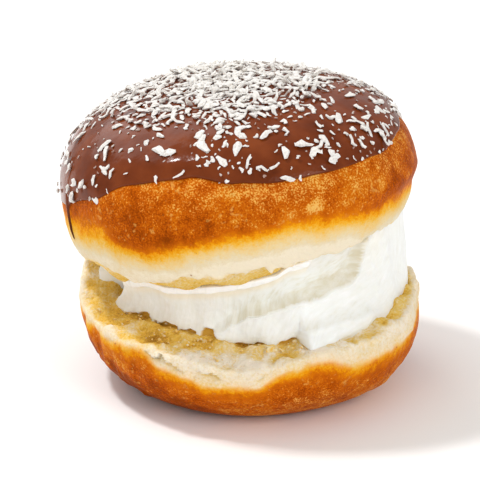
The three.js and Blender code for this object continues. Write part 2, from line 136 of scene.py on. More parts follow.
TORN_EDGE = (
    (-82, 0), (-74.5, 0), (-66, 0.4), (-59, 0.2), (-57, 1.3), (-53, 1.6), (-51.5, 0.3), (-45, 0),
    (-41, 0.8), (-35.5, 1.2), (-34.5, 0.2), (-30, 0.7), (-28.5, 1.5), (-26.5, 1.4), (-25, 0),
    (-23.4, 0), (-22, 2.4), (-18, 2), (-14, 0.2), (-9, 0), (-5, 0.9), (1, 0.5), (8.5, 0), (13, 0.7),
    (18, 1.4), (20, 0), (34, 0.2), (45, 0), (180, 0),
)

# The tops of its folds, as shares of its height.
MIDDLE_FOLD = (
    (-21, 0), (-14, 0.13), (-8, 0.3), (0, 0.42), (13, 0.43), (21, 0.47), (30, 0.43), (46, 0.43),
    (52, 0.45), (57, 0.57), (63, 0.76), (69, 1), (150, 0.9), (200, 0.3), (230, 0),
)
LOWER_FOLD = (
    (18.8, 0), (20.2, 0.17), (29, 0.16), (38, 0.14), (48, 0.11), (60, 0.04), (70, 0), (118, 0),
    (135, 0.2), (165, 0.3), (195, 0),
)

# Where its foot is held to its radius, where it is ragged and where its lip has a bead, from 0 to 1.
BASE_HELD = ((-84, 0), (-76, 1), (95, 1), (115, 0), (180, 0))
RAGGED = ((-84, 0), (-70, 0.2), (-60, 1), (18, 1), (32, 0.3), (60, 0.1), (90, 0), (180, 0))
LIP_BEAD = ((-68, 0), (-54, 0.8), (-40, 1), (10, 1), (22, 0.8), (30, 0), (180, 0))

# The slope of the way that the spatula went, in degrees.
STREAK_SLOPE = ((-125, 80), (-10, 82), (14, 60), (34, 14), (60, 10), (70, 40), (85, 80), (150, 80))

# Fixed proportions of the bun as in its solids, in millimetres, with angles written in degrees.
LOWER_EQUATOR, EQUATOR_LEAN, LOWER_CROWN, LOWER_MIDDLE = 19.8, 2.9, 26.0, 24.0
BULGE_RADIUS, UPPER_EQUATOR, DOME_POWER, UPPER_MIDDLE = 25.0, 12.0, 2.7, 1.5
DOME_LEAN = (-0.14, 0.16)
HINGE_ANGLE, HINGE_SPREAD, HINGE_DEPTH = np.radians(235), np.radians((22, 42)), (29.0, 37.0)
HINGE_RISE, HINGE_CROWN = 13.0, 34.0
UPPER_CENTRE = np.array((-0.4, 0.0, 40.2))
# Height of the torn crumb's waves on the lower and the upper cut face.
LOWER_WAVES, UPPER_WAVES = 0.6, 0.5

# Length along the upper half's side, and along its dome, for each radian of lift.
SIDE_RUN, DOME_RUN = 23.0, 38.0
# A pale blister on the crust, in the upper half's own frame, and its half sizes.
BLISTER, BLISTER_SIZE = np.array((19.4, -42.7, 13.0)), np.array((2.5, 2.5, 1.7))
# Mean radius of the cream's wall, how far the cream runs into the lower and the upper cut face, the depth
# of its lip's bead, painted white as a painted highlight, and the lip's width as a share of the radius.
CREAM_MEAN, CREAM_SINK, CREAM_REACH, BEAD_DEPTH, LIP_WIDTH = 36.0, 1.2, 0.8, 2.3, 0.06
# Turn angle and width of the cream's left end, and how far it leans round the bun towards its top, in
# degrees.
END_ANGLE, END_WIDTH, END_LEAN = -66, 14, 14
# Turn angle, width and drop of the thin drip of icing, in degrees.
DRIP_ANGLE, DRIP_WIDTH, DRIP_DROP = -70, 0.6, 17
# Mean radius of the icing's edge, and how far that edge and the inner face lie under the bun's skin.
ICING_MEAN, ICING_BED, ICING_DEPTH = 40.0, 0.1, 0.6

# Columns of every grid, and the rings of its parts from the lower pole up.
TURNS = 480
LOWER_RINGS = {"base": 12, "side": 76, "face": 76}
UPPER_RINGS = {"face": 56, "side": 78, "dome": 24}
CREAM_RINGS = {"under": 24, "wall": 130, "lip": 6, "crest": 30}
ICING_RINGS = {"inside": 20, "edge": 18, "dome": 116}

# The solids' own flakes and the steps of their even scatter, the shares of the way down the dome between
# which the close cover of coconut gives way to single flakes, and the number of crumbs.
CAD_FLAKES, EVEN_STEPS, CARPET, CRUMBS = 90, (0.7548777, 0.5698403, 0.618034), (0.25, 0.55), 150
# Rings of a chip: their places as shares of its length, their half widths as shares of its width.
CHIP_PLACES, CHIP_WIDTHS = np.array((-0.45, -0.16, 0.14, 0.45)), np.array((0.34, 0.5, 0.48, 0.3))
CHIP_CORNERS = 6
# Share of the coconut that is strewn at each turn angle, below the close cover on top.
SPARSE_COCONUT = (
    (-150, 0.45), (-95, 0.28), (-70, 0.22), (-30, 0.17), (-14, 0.2), (-6, 0.48), (2, 0.46), (9, 0.34),
    (17, 0.26), (25, 0.3), (45, 0.32), (70, 0.3), (130, 0.5),
)

# The studio: the floor's half size in millimetres, and the rest in metres. Each light has its place, the
# width of its square and its power in watts.
FLOOR_HALF = 4000.0
LIGHTS = (
    ("top_light", (-0.42, 0.1, 0.92), 0.11, 4.8),
    ("left_light", (-0.6, -0.8, 0.62), 0.6, 0.8),
    ("right_light", (0.65, -0.76, 0.6), 0.6, 3.9),
    ("back_light", (-0.6, 0.8, 0.8), 0.8, 3.2),
)
LIGHT_AIM, SKY_STRENGTH = Vector((0, 0, 0.04)), 0.6
# What the camera looks at, the width that it sees there, and its sensor's width in millimetres.
CAMERA_AIM, FRAME_WIDTH, SENSOR_WIDTH = Vector((-0.00267, -0.00068, 0.0381)), 0.128, 36


def linear(code):
    """An sRGB hex code as linear red, green and blue."""
    srgb = np.array([int(code[start : start + 2], 16) for start in (1, 3, 5)]) / 255
    return tuple(np.where(srgb <= 0.04045, srgb / 12.92, ((srgb + 0.055) / 1.055) ** 2.4))


def length(name, description, default):
    """A length property, given in millimetres and kept in metres."""
    return bpy.props.FloatProperty(name=name, description=description, default=default * MM, unit="LENGTH")


def colour(name, description, code):
    """A colour property with an sRGB hex code as its default."""
    return bpy.props.FloatVectorProperty(
        name=name, description=description, default=linear(code), subtype="COLOR", min=0, max=1
    )


class BunSettings(bpy.types.PropertyGroup):
    """Sizes and colours of the fried bun"""

    lower_radius: length("Lower radius", "Widest radius of the lower half", 46)
    base_radius: length("Base radius", "Radius of the flat spot that it rests on", 26)
    upper_radius: length("Upper radius", "Widest radius of the upper half", 47.2)
    rim_radius: length("Rim radius", "Radius of the upper half's cut edge", 43.2)
    dome_height: length("Dome height", "Height of the dome above the upper half's widest ring", 28)
    opening: bpy.props.FloatProperty(
        name="Opening", description="How far the slit is opened", default=np.radians(12.1), subtype="ANGLE"
    )
    pale: colour("Pale band", "Dough that the fat did not reach", "#e3d3b2")
    golden: colour("Golden edge", "Dough at the edge of the crust", "#e89a10")
    crust: colour("Crust", "Well fried dough", "#c45e0a")
    dark_crust: colour("Dark crust", "Most fried patches of the crust", "#a84a06")
    crumb: colour("Crumb", "Torn inside of the bun", "#ecbd4e")


class CreamSettings(bpy.types.PropertyGroup):
    """Size and colour of the cream"""

    streak: length("Streaks", "Depth of the marks that the spatula leaves", 0.05)
    cream: colour("Cream", "Whipped cream", "#f5f7f5")


class IcingSettings(bpy.types.PropertyGroup):
    """Size and colour of the icing"""

    thickness: length("Thickness", "Thickness of the icing", 1.0)
    chocolate: colour("Chocolate", "Milk chocolate", "#6f3112")


class CoconutSettings(bpy.types.PropertyGroup):
    """Number, size and colour of the coconut"""

    count: bpy.props.IntProperty(
        name="Flakes", description="Flakes strewn on the icing", default=1600, min=CAD_FLAKES
    )
    shortest: length("Shortest", "Length of the smallest bits", 0.5)
    longest: length("Longest", "Length of the largest shreds", 5.0)
    flesh: colour("Flesh", "Dried coconut", "#ebe8e3")


class StageSettings(bpy.types.PropertyGroup):
    """The studio"""

    floor: colour("Floor", "Pale floor", "#fbfaf9")
    distance: length("Camera distance", "From the camera to the doughnut", 700)
    elevation: bpy.props.FloatProperty(
        name="Elevation", description="Camera above the horizon", default=np.radians(20), subtype="ANGLE"
    )


class DoughnutSettings(bpy.types.PropertyGroup):
    """All settings of the doughnut"""

    bun: bpy.props.PointerProperty(type=BunSettings)
    cream: bpy.props.PointerProperty(type=CreamSettings)
    icing: bpy.props.PointerProperty(type=IcingSettings)
    coconut: bpy.props.PointerProperty(type=CoconutSettings)
    stage: bpy.props.PointerProperty(type=StageSettings)


def ease(value, start, end):
    """A smooth step from 0 at start to 1 at end."""
    share = np.clip((value - start) / (end - start), 0, 1)
    return share * share * (3 - 2 * share)


def mix(start, end, share):
    """The value a share of the way from start to end."""
    return start + (end - start) * share


def around(table, angle):
    """A table's value at each turn angle, eased from one entry to the next."""
    at, value = np.array([*table, (table[0][0] + 360, table[0][1])], float).T
    turn = at[0] + np.mod(np.degrees(angle) - at[0], 360)
    entry = np.clip(np.searchsorted(at, turn, side="right") - 1, 0, len(table) - 1)
    return mix(value[entry], value[entry + 1], ease(turn, at[entry], at[entry + 1]))


def noise(points, size, seed):
    """Smooth noise from -1 to 1: hashed numbers on a cubic lattice with cells of one size, eased between."""
    cell = points / size
    corner = np.floor(cell).astype(np.int64)
    part = ease(cell - corner, 0, 1)
    total = 0.0
    for step in np.ndindex(2, 2, 2):
        key = (corner + step) @ np.array((374761393, 668265263, 1274126177)) + 974711 * seed
        key = ((key & 0xFFFFFFFF) ^ ((key >> 13) & 0x7FFFF)) * 1103515245 & 0xFFFFFFFF
        key = (key ^ (key >> 15)) * 668265263 & 0xFFFFFFFF
        weight = np.where(step, part, 1 - part).prod(axis=-1)
        total = total + weight * ((key >> 8) / 2**23 - 1)
    return total


def rough(points, size, octaves, seed):
    """Noise over several octaves, each half the size and half as strong as the one before."""
    return sum(noise(points, size / 2**octave, seed + octave) / 2**octave for octave in range(octaves))


def bumps(points, *layers):
    """A sum of noises, each given by its height, the size of its bumps and its seed."""
    return sum(height * noise(points, size, seed) for height, size, seed in layers)


def bell(angle, middle, width):
    """1 at a turn angle in degrees, falling to 0 as a bell curve on both sides."""
    return np.exp(-(((np.mod(np.degrees(angle) + 180, 360) - (180 + middle)) / width) ** 2))


def crumb_waves(x, y):
    """The coarse unevenness of torn crumb: two crossing waves that bend each other, from -1 to 1."""
    return (np.sin(0.42 * x + 1.3 * np.sin(0.27 * y)) + np.sin(0.47 * y + 1.1 * np.sin(0.33 * x + 2))) / 2


def outline(angle, phase):
    """Slight unevenness of the bun's outline: a factor near 1 with three and five lobes."""
    return 1 + 0.006 * np.cos(3 * angle + phase) + 0.004 * np.cos(5 * angle - 2 * phase)


def turned(radius, height, angle):
    """Points at a radius and a height on each turn angle."""
    return np.stack(np.broadcast_arrays(radius * np.sin(angle), -radius * np.cos(angle), height), axis=-1)


def from_axis(points):
    """Distance of points from the upright axis."""
    return np.hypot(points[..., 0], points[..., 1])


def seam(radius, angle):
    """Places on a circle, for noise that runs round the bun and closes on itself."""
    return radius * np.stack([np.cos(angle), np.sin(angle), 0 * angle], axis=-1)


def hinge(angle):
    """1 where the bun is uncut at the hinge, easing to 0 where it is slit."""
    return 1 - ease(np.arccos(np.cos(angle - HINGE_ANGLE)), *HINGE_SPREAD)


class Bun:
    """The bun's formulas for one set of sizes."""

    def __init__(self, settings):
        self.lower, self.base = settings.lower_radius / MM, settings.base_radius / MM
        self.upper, self.rim = settings.upper_radius / MM, settings.rim_radius / MM
        self.dome = settings.dome_height / MM
        bulge = (self.rim - BULGE_RADIUS) / (self.upper - BULGE_RADIUS)
        self.drop = UPPER_EQUATOR / np.sqrt(1 - bulge**2)
        hingeward = Vector((np.sin(HINGE_ANGLE), -np.cos(HINGE_ANGLE), 0))
        axis = hingeward * np.sin(settings.opening) + Vector((0, 0, np.cos(settings.opening)))
        self.axis = np.array(axis)
        self.turn = np.array(Vector((0, 0, 1)).rotation_difference(axis).to_matrix())

    def place(self, points):
        """Points of the upper half's own frame, tilted and lifted to where it stands."""
        return points @ self.turn.T + UPPER_CENTRE

    def lower_cut(self, points):
        """Height of the lower cut face over or under points: a parabola from its middle to its edge,
        climbing at the hinge."""
        x, y, radius = points[..., 0], points[..., 1], from_axis(points)
        angle = np.arctan2(x, -y)
        face = mix(LOWER_MIDDLE, around(LOWER_RIM, angle), (radius / self.lower) ** 2)
        return face + HINGE_RISE * hinge(angle) * ease(radius, *HINGE_DEPTH) + LOWER_WAVES * crumb_waves(x, y)

    def upper_cut(self, points):
        """Heights, over or under points, of the upper half's tilted plane and of its cut face, which is
        arched up from that plane over the middle."""
        x, y = points[..., 0], points[..., 1]
        lean = (x - UPPER_CENTRE[0]) * self.axis[0] + (y - UPPER_CENTRE[1]) * self.axis[1]
        plane = UPPER_CENTRE[2] - lean / self.axis[2]
        local = (np.stack([x, y, plane], axis=-1) - UPPER_CENTRE) @ self.turn
        x, y, share = local[..., 0], local[..., 1], np.minimum(from_axis(local) / self.rim, 1)
        return plane, plane + self.arch(np.arctan2(x, -y), share) + UPPER_WAVES * crumb_waves(x, y)

    def arch(self, angle, share):
        """Height of the upper cut face in its own frame: arched up over the middle, sagging at the front."""
        sag = around(UNDERSIDE_SAG, angle) * ease(share, 0.1, 0.5) * (1 - ease(share, 0.8, 1))
        return mix(UPPER_MIDDLE, around(UPPER_RIM, angle), share**2) - sag

    def rim_lift(self, angle):
        """Lift of the upper half's cut edge."""
        return np.arcsin((around(UPPER_RIM, angle) - UPPER_EQUATOR) / self.drop)

    def skin(self, angle, lift, offset=0.0):
        """Radius and height on the upper half's skin: an elliptic bulge below its widest ring and a
        superellipse above, fuller towards the back left, moved out along the normal by the offset."""
        widest = self.upper * outline(angle, 2)
        bulge = widest - BULGE_RADIUS
        cos, sin = np.abs(np.cos(lift)), np.sin(lift)
        out, up = cos ** (2 / DOME_POWER), np.maximum(sin, 0) ** (2 / DOME_POWER)
        fuller = 1 + out * (DOME_LEAN[0] * np.sin(angle) - DOME_LEAN[1] * np.cos(angle))
        below = lift < 0
        tuck = around(UPPER_TUCK, angle) * ease(-lift, 0, 0.25)
        radius = np.where(below, BULGE_RADIUS + bulge * cos - tuck, widest * out)
        height = UPPER_EQUATOR + np.where(below, self.drop * sin, self.dome * up * fuller)
        across = np.where(below, cos / bulge, out ** (DOME_POWER - 1) / widest)
        upward = np.where(below, sin / self.drop, up ** (DOME_POWER - 1) / self.dome)
        size = np.hypot(across, upward)
        return radius + offset * across / size, height + offset * upward / size


def turn_angles():
    """Turn angles of a grid's columns, once round the bun, as one row."""
    return np.arange(TURNS)[None, :] * 2 * np.pi / TURNS


def normals(points):
    """Outward unit normals of a grid of rings, from the differences along and across the rings."""
    along = np.roll(points, -1, axis=1) - np.roll(points, 1, axis=1)
    normal = np.cross(along, np.gradient(points, axis=0))
    return normal / np.maximum(np.linalg.norm(normal, axis=-1, keepdims=True), 1e-9)


def soften(points, row, reach, times):
    """Rounds the edge at one ring by averaging each ring near it with its neighbours."""
    near = slice(row - reach, row + reach + 1)
    for _ in range(times):
        before, after = points[near.start - 1 : near.stop - 1], points[near.start + 1 : near.stop + 1]
        points[near] = (before + 2 * points[near] + after) / 4
    return points


def fill_mesh(name, points, faces, smooth):
    """A mesh of points in millimetres with triangles and quads, given as arrays of corner numbers."""
    mesh = bpy.data.meshes.new(name)
    mesh.vertices.add(len(points))
    mesh.vertices.foreach_set("co", (points * MM).astype(np.float32).ravel())
    corners = np.concatenate([group.ravel() for group in faces])
    sizes = np.concatenate([np.full(len(group), group.shape[1]) for group in faces])
    mesh.loops.add(len(corners))
    mesh.loops.foreach_set("vertex_index", corners.astype(np.int32))
    mesh.polygons.add(len(sizes))
    mesh.polygons.foreach_set("loop_start", np.concatenate([[0], np.cumsum(sizes)[:-1]]).astype(np.int32))
    mesh.polygons.foreach_set("use_smooth", np.full(len(sizes), smooth))
    mesh.update(calc_edges=True)
    if mesh.validate():
        raise RuntimeError(f"the mesh of {name} had faults")
    return mesh


def add_attribute(mesh, name, values):
    """Adds a number or a vector at each point of a mesh, for its material to read."""
    kind, field = ("FLOAT", "value") if values.ndim == 1 else ("FLOAT_VECTOR", "vector")
    mesh.attributes.new(name, kind, "POINT").data.foreach_set(field, values.astype(np.float32).ravel())


def tube_faces(rings, corners, start, first, last):
    """Corner numbers of a tube whose points are numbered from start, ring by ring: the quads between its
    rings, and the triangles that close it at its first and last points."""
    here = start + np.arange(rings * corners).reshape(rings, corners)
    beside = np.roll(here, -1, axis=1)
    quads = np.stack([here[:-1], beside[:-1], beside[1:], here[1:]], axis=-1).reshape(-1, 4)
    ends = ((first, beside[0], here[0]), (last, here[-1], beside[-1]))
    caps = [np.stack(np.broadcast_arrays(*end), axis=-1) for end in ends]
    return quads, np.concatenate(caps)


def ring_mesh(name, points, **attributes):
    """A closed mesh over a grid of rings from a lower pole to an upper one, with a value of each
    attribute at each grid point. The first and last rings are single points."""
    rings, turns = points.shape[:2]

    def flat(grid):
        return np.concatenate([grid[:1, 0], grid[1:-1].reshape(-1, *grid.shape[2:]), grid[-1:, 0]])

    faces = tube_faces(rings - 2, turns, 1, 0, (rings - 2) * turns + 1)
    mesh = fill_mesh(name, flat(points), faces, True)
    for key, grid in attributes.items():
        add_attribute(mesh, key, flat(grid))
    return mesh


def add_piece(mesh, material, slot, *nodes):
    """Adds a mesh as a piece of the doughnut that stands for the given solids."""
    piece = bpy.data.objects.new(mesh.name, mesh)
    bpy.context.scene.collection.objects.link(piece)
    mesh.materials.append(material)
    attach(piece, "root")
    if nodes:
        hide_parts(*nodes)
    return piece


def lower_half(bun):
    """The lower half: a flat base, a side that is an elliptic arc up to the cut edge, and the cut face.
    Dents and grain are pushed along the normals; the torn face is the roughest. Below the front edge a
    flap stands over a torn groove."""
    angle = turn_angles()
    bulge = bun.lower * outline(angle, -0.5) - around(LOWER_PRESS, angle) - bun.base
    equator = LOWER_EQUATOR - EQUATOR_LEAN * np.sin(angle)
    crown = mix(LOWER_CROWN, HINGE_CROWN, hinge(angle))
    rim_lift = np.arcsin((bun.lower_cut(turned(bun.lower, 0, angle)) - equator) / crown)

    base = turned(np.linspace(0, bun.base, LOWER_RINGS["base"], endpoint=False)[:, None], 0, angle)
    lift = mix(-np.pi / 2, rim_lift, np.linspace(0, 1, LOWER_RINGS["side"])[:, None])
    rise = np.where(lift < 0, equator, crown) * np.sin(lift)
    side = turned(bun.base + bulge * np.cos(lift), equator + rise, angle)
    share = np.linspace(1, 0, LOWER_RINGS["face"])[1:, None]
    face = turned(share * from_axis(side[-1:]), 0, angle)
    face[..., 2] = bun.lower_cut(face)
    edge = len(base) + len(side) - 1
    points = soften(np.concatenate([base, side, face]), edge, 4, 4)

    # Rings past the cut edge: below 0 on the side, above 0 on the cut face.
    past_edge = np.arange(len(points))[:, None] - edge + 0 * angle
    torn = ease(past_edge, -2, 3)
    depth = around(LOWER_CRUST, angle) - points[..., 2]
    depth = depth + 0.7 * rough(points, 4, 3, 5) + 0.9 * noise(points, 11, 9)
    bake = np.where(past_edge > 1, 0.1, np.clip(0.5 + depth / np.where(depth < 0, 9, 20), 0, 1))
    frayed = (1 - ease(bake, 0.35, 0.55)) * (1 - hinge(angle))
    level = points * np.array((1, 1, 0))
    rim = ease(from_axis(points), 35, 42) * around(PALE_TEAR, angle)
    rim = rim * np.clip(0.8 + bumps(level, (0.9, 4.5, 44), (0.6, 2, 45)), 0, 1.2)
    rim = mix(1, rim, ease(past_edge, -1, 5))

    upright = points * np.array((1, 1, 0.35))
    wrinkle = around(WRINKLED, angle) * bumps(upright, (0.6, 3.4, 40), (0.35, 1.7, 41))
    crust = bumps(points, (0.55, 17, 1), (0.22, 7, 2)) + 0.07 * rough(points, 2.2, 2, 3) + wrinkle
    tear = 0.5 * noise(points, 5, 4) + 0.8 * rough(points, 2.8, 3, 6)
    under_flap = side[-1:, :, 2] - points[..., 2] - 2.4 - 1.1 * noise(level, 6, 7)
    under_flap = under_flap - 0.8 * rough(level, 1.9, 2, 10)
    gash = around(TORN_GROOVE, angle) * (past_edge < 1) * np.clip(0.6 + 1.6 * noise(level, 5, 8), 0, 1.3)
    groove = np.where(under_flap > 0, np.exp(-under_flap / 0.8), 0)
    flap = np.where(under_flap > 0, 0, np.exp(under_flap / 1.4))
    rim = rim * (1 - 0.8 * np.clip(gash * groove, 0, 1)) + 0.5 * tear * torn
    push = mix(crust, tear, np.maximum(torn, 0.8 * frayed)) * ease(points[..., 2], 0.2, 5)
    push = push + gash * (0.5 * flap - 1.1 * groove)
    points = points + normals(points) * push[..., None]
    # Painted light in the brownness: painted shade in the wrinkles' hollows with lighter ridges, and the
    # table's painted shade at the lower left and painted light at the front right.
    tan = around(LOWER_TAN_AND_PAINTED_LIGHT, angle) * ease(depth, 2, 13) - 1.3 * wrinkle
    return ring_mesh("bun_lower", points, bake=bake, torn=np.maximum(torn, 0.65 * frayed), rim=rim, tan=tan)


def upper_half(bun):
    """The upper half: its cut face from the middle out, a torn edge, the bulging pale side and the dome.
    The crust's dents end where the icing covers them."""
    angle = turn_angles()
    rim_lift, iced_lift = bun.rim_lift(angle), np.radians(around(ICING_EDGE, angle))
    share = np.linspace(0, 1, UPPER_RINGS["face"], endpoint=False)[:, None]
    face = turned(share * bun.skin(angle, rim_lift)[0], 0, angle)
    face[..., 2] = bun.arch(angle, share) + UPPER_WAVES * crumb_waves(face[..., 0], face[..., 1])
    covered_lift = iced_lift + np.radians(6)
    side_lift = mix(rim_lift, covered_lift, np.linspace(0, 1, UPPER_RINGS["side"])[:, None])
    dome_lift = mix(covered_lift, np.pi / 2, np.linspace(0, 1, UPPER_RINGS["dome"])[1:, None])
    lift = np.concatenate([side_lift, dome_lift])
    edge = len(face)
    points = soften(np.concatenate([face, turned(*bun.skin(angle, lift), angle)]), edge, 3, 3)

    # Rings past the cut edge: below 0 on the cut face, which counts as well below the crust.
    past_edge = np.arange(len(points))[:, None] - edge + 0 * angle
    torn = 1 - ease(past_edge, -3, 2)
    full_lift = np.concatenate([np.full_like(face[..., 0], -0.6), lift])
    depth = SIDE_RUN * (full_lift - np.radians(around(UPPER_CRUST, angle)))
    depth = depth + 0.6 * rough(points, 4, 3, 15) + 0.9 * noise(points, 11, 19)
    bake = np.where(past_edge < 0, 0.1, np.clip(0.5 + depth / np.where(depth < 0, 15, 16), 0, 1))
    from_blister = np.linalg.norm((points - BLISTER) / BLISTER_SIZE, axis=-1) + 0.35 * noise(points, 1.5, 20)
    under_icing = ease(full_lift, iced_lift - 0.02, iced_lift + 0.05)
    rim = 0.15 * ease(past_edge, -36, -16) + 0.35 * ease(past_edge, -9, -1)
    tan = around(UPPER_TAN, angle) - 0.7 * ease(full_lift, iced_lift - 0.4, iced_lift - 0.05)
    tan = tan - 2.4 * np.exp(-(from_blister**4))

    crust = bumps(points, (0.5, 16, 11), (0.2, 6, 12)) + 0.06 * rough(points, 2, 2, 13)
    tear = 0.4 * noise(points, 6, 14) + 0.3 * rough(points, 2.4, 3, 16)
    push = mix(crust * (1 - under_icing), tear, torn)
    ragged = bumps(points, (0.5, 3.2, 17), (0.5, 1.4, 18)) + around(RIM_TEETH, angle)
    points = points + normals(points) * push[..., None]
    points[..., 2] += ragged * (1 - ease(np.abs(past_edge), 0, 5))
    return ring_mesh("bun_upper", bun.place(points), bake=bake, torn=torn, rim=rim, tan=tan)


def fold(share, top, step, foot):
    """How far a fold of cream stands out at each share of the wall's height: a ridge at its top, hollowed
    above it, full and wider below it."""
    above = np.clip((share - top) / 0.16, 0, 1)
    below = np.clip((top - share) / np.maximum(top, 0.1), 0, 1)
    swath = mix(step, foot, below) + 0.7 * np.sin(np.pi * below) - 0.6 * ease(top - share, 0, 0.05)
    return ease(top, 0, 0.12) * np.where(share > top, step * (1 - above) ** 2.2, swath)


def cream_radius(angle, share):
    """Radius of the cream's wall at each share of its height: a table that leans at the left end, with two
    folds, a rounded dollop, a flare at the foot, a slight hollow and a lip that leans out. The foot is
    held to a table of its own."""
    middle, trough = around(MIDDLE_FOLD, angle), around(TROUGH, angle)
    height, rise = np.clip(share, 0, 1), np.clip((share - middle) / (1.01 - middle), 0, 1)
    end = np.radians(END_LEAN) * bell(angle, END_ANGLE, END_WIDTH)
    folds = fold(share, middle, 2.6 + trough, around(FOLD_FOOT, angle) + trough)
    folds = folds + fold(share, around(LOWER_FOLD, angle), 2.4, around(LOWER_FOOT, angle))
    dollop = -around(DOLLOP, angle) * (2 * height - 1) ** 2
    flare = 0.8 * around(RAGGED, angle) * (1 - ease(share, 0, 0.5))
    hollow = -0.5 * np.sin(np.pi * height)
    lean = 2.4 * around(LIP_BEAD, angle) * rise - trough * (1 - rise**2)
    radius = around(CREAM_RADIUS, angle - end * height) + folds + dollop + flare + hollow + lean
    foot = np.abs(share[:, 0]).argmin()
    held = around(BASE_HELD, angle) * (around(CREAM_BASE, angle) - radius[foot])
    return radius + held * (1 - np.clip(share / 0.4, 0, 1)) ** 2


def spatula_way(angle, height, mid_height=30, squeeze=0.18):
    """Places across and along the way that the spatula went over the wall, in millimetres and squeezed
    along it, so that noise over them makes streaks. The way's slope changes round the cream."""
    spread = np.radians(np.linspace(0, 360, 721) + STREAK_SLOPE[0][0])
    across = np.cumsum(np.sin(np.radians(around(STREAK_SLOPE, spread))))
    across = across * CREAM_MEAN * (spread[1] - spread[0])
    turn = np.mod(angle - spread[0], 2 * np.pi) + spread[0]
    slope = np.radians(around(STREAK_SLOPE, angle))
    drawn = np.interp(turn, spread, across) - (height - mid_height) * np.cos(slope)
    return np.stack([drawn, squeeze * (CREAM_MEAN * turn + height), 0 * drawn], axis=-1)


def cream_filling(bun, streak):
    """The cream: a wall that steps out below each fold, with a torn foot and a beaded lip where it stands
    free, and faces pressed to both cuts. Golden painted shade lies in a line and a band under the bead,
    in the recesses of the torn foot and on the crest behind the lip. Painted light makes the bead
    brighter as a painted highlight, and the wall above each fold darker as painted shade."""
    angle = turn_angles()
    low, middle = around(LOWER_FOLD, angle), around(MIDDLE_FOLD, angle)
    ragged, beaded = around(RAGGED, angle), around(LIP_BEAD, angle)
    share = np.linspace(-0.12, 1, CREAM_RINGS["wall"])[:, None]
    course = seam(CREAM_MEAN, angle) + np.array((0, 0, 4)) * share[..., None]
    wall = turned(cream_radius(angle, share) + 0.3 * noise(course, 7, 23), 0, angle)
    floor, plane = bun.lower_cut(wall), bun.upper_cut(wall)[0]
    tall = plane + around(CREAM_LIP, angle) + 0.3 * noise(course, 4, 26) - floor
    below_lip = (1 - share) * tall
    notch = around(TORN_EDGE, angle) + ragged * bumps(course, (0.35, 2.4, 24), (0.35, 1.1, 25))
    cut = 1.3 * ragged * (1 - ease(share * tall, notch - 0.3, notch)) * (notch > 0.1)
    bead = 1.4 * beaded * np.sqrt(np.clip(1 - (below_lip / 1.2 - 1) ** 4, 0, 1))
    wall = wall * np.array((1, 1, 0)) * (1 + (bead - cut) / from_axis(wall))[..., None]
    wall[..., 2] = floor + share * tall

    # Painted shade in golden tints: a line in the crease under the bead, a band below it, and the recesses of
    # the torn foot.
    line = np.exp(-(((below_lip - 2.6) / 0.35) ** 2)) * np.clip(0.3 + 0.7 * noise(course, 3, 29), 0, 1)
    band = 0.42 * np.exp(-(((below_lip - 3.1) / 1.2) ** 2)) * (below_lip > BEAD_DEPTH)
    stain = np.maximum(beaded * np.maximum(line, band), 3 * ease(cut, 0.2, 1.2))
    # Painted light: the bead is painted brighter as a painted highlight, and the wall above each fold darker
    # as painted shade, mostly towards the front.
    painted_fold_shade = 0.0
    for top, reach, strength, full in ((middle, 0.5, 1, (0.05, 0.3)), (low, 0.14, 0.5, (0.02, 0.1))):
        above = (1 - np.clip((share - top) / reach, 0, 1)) * (share > top + 0.01)
        painted_fold_shade = np.maximum(painted_fold_shade, strength * above * ease(top, *full))
    tone = np.where(below_lip < BEAD_DEPTH, beaded, 0) - painted_fold_shade * (1 - ease(np.cos(angle), 0.3, -0.2))

    inward = np.concatenate([
        np.linspace(1, 1 - LIP_WIDTH, CREAM_RINGS["lip"])[1:],
        np.linspace(1 - LIP_WIDTH, 0, CREAM_RINGS["crest"])[1:],
    ])[:, None]
    crest = turned(inward * from_axis(wall[-1:]), 0, angle)
    crest_plane, roof = bun.upper_cut(crest)
    behind_lip = crest_plane + wall[-1:, :, 2] - plane[-1:]
    crest[..., 2] = mix(behind_lip, roof + CREAM_REACH, np.clip((1 - inward) / LIP_WIDTH, 0, 1))
    out = np.linspace(0, 1, CREAM_RINGS["under"], endpoint=False)[:, None]
    under = turned(out * from_axis(wall[:1]), 0, angle)
    under[..., 2] = bun.lower_cut(under) - CREAM_SINK

    points = np.concatenate([under, wall, crest])
    sweep = np.concatenate([under, spatula_way(angle, wall[..., 2]), crest])
    # Painted shade: the crest just behind the bead is tinted golden like the shaded underside.
    crest_stain = 3 * beaded * ease(1 - inward, 0.012, 0.035) * (inward > 0.9)
    stain = np.concatenate([0 * under[..., 0], stain, crest_stain])
    tone = np.concatenate([0 * under[..., 0], tone, 0 * crest_stain])
    lumps = bumps(points, (0.22, 7, 27), (0.1, 2.5, 28)) + 0.09 * rough(points, 1.5, 2, 36)
    streaks = streak * bumps(sweep, (1, 1.6, 21), (0.7, 0.8, 22))
    points = points + normals(points) * (lumps + streaks)[..., None]
    lowest, highest = bun.lower_cut(points) - CREAM_SINK, bun.upper_cut(points)[1] + CREAM_REACH
    points[..., 2] = np.clip(points[..., 2], lowest, highest)
    return ring_mesh("cream_folds", points, sweep=sweep, stain=stain, tone=tone)


def icing_edge(angle):
    """Lift of the icing's lower edge: its table with small runs and nicks, and one thin drip."""
    runs = bumps(seam(ICING_MEAN, angle), (0.9, 9, 31), (0.5, 3, 32))
    return np.radians(around(ICING_EDGE, angle) + runs - DRIP_DROP * bell(angle, DRIP_ANGLE, DRIP_WIDTH))


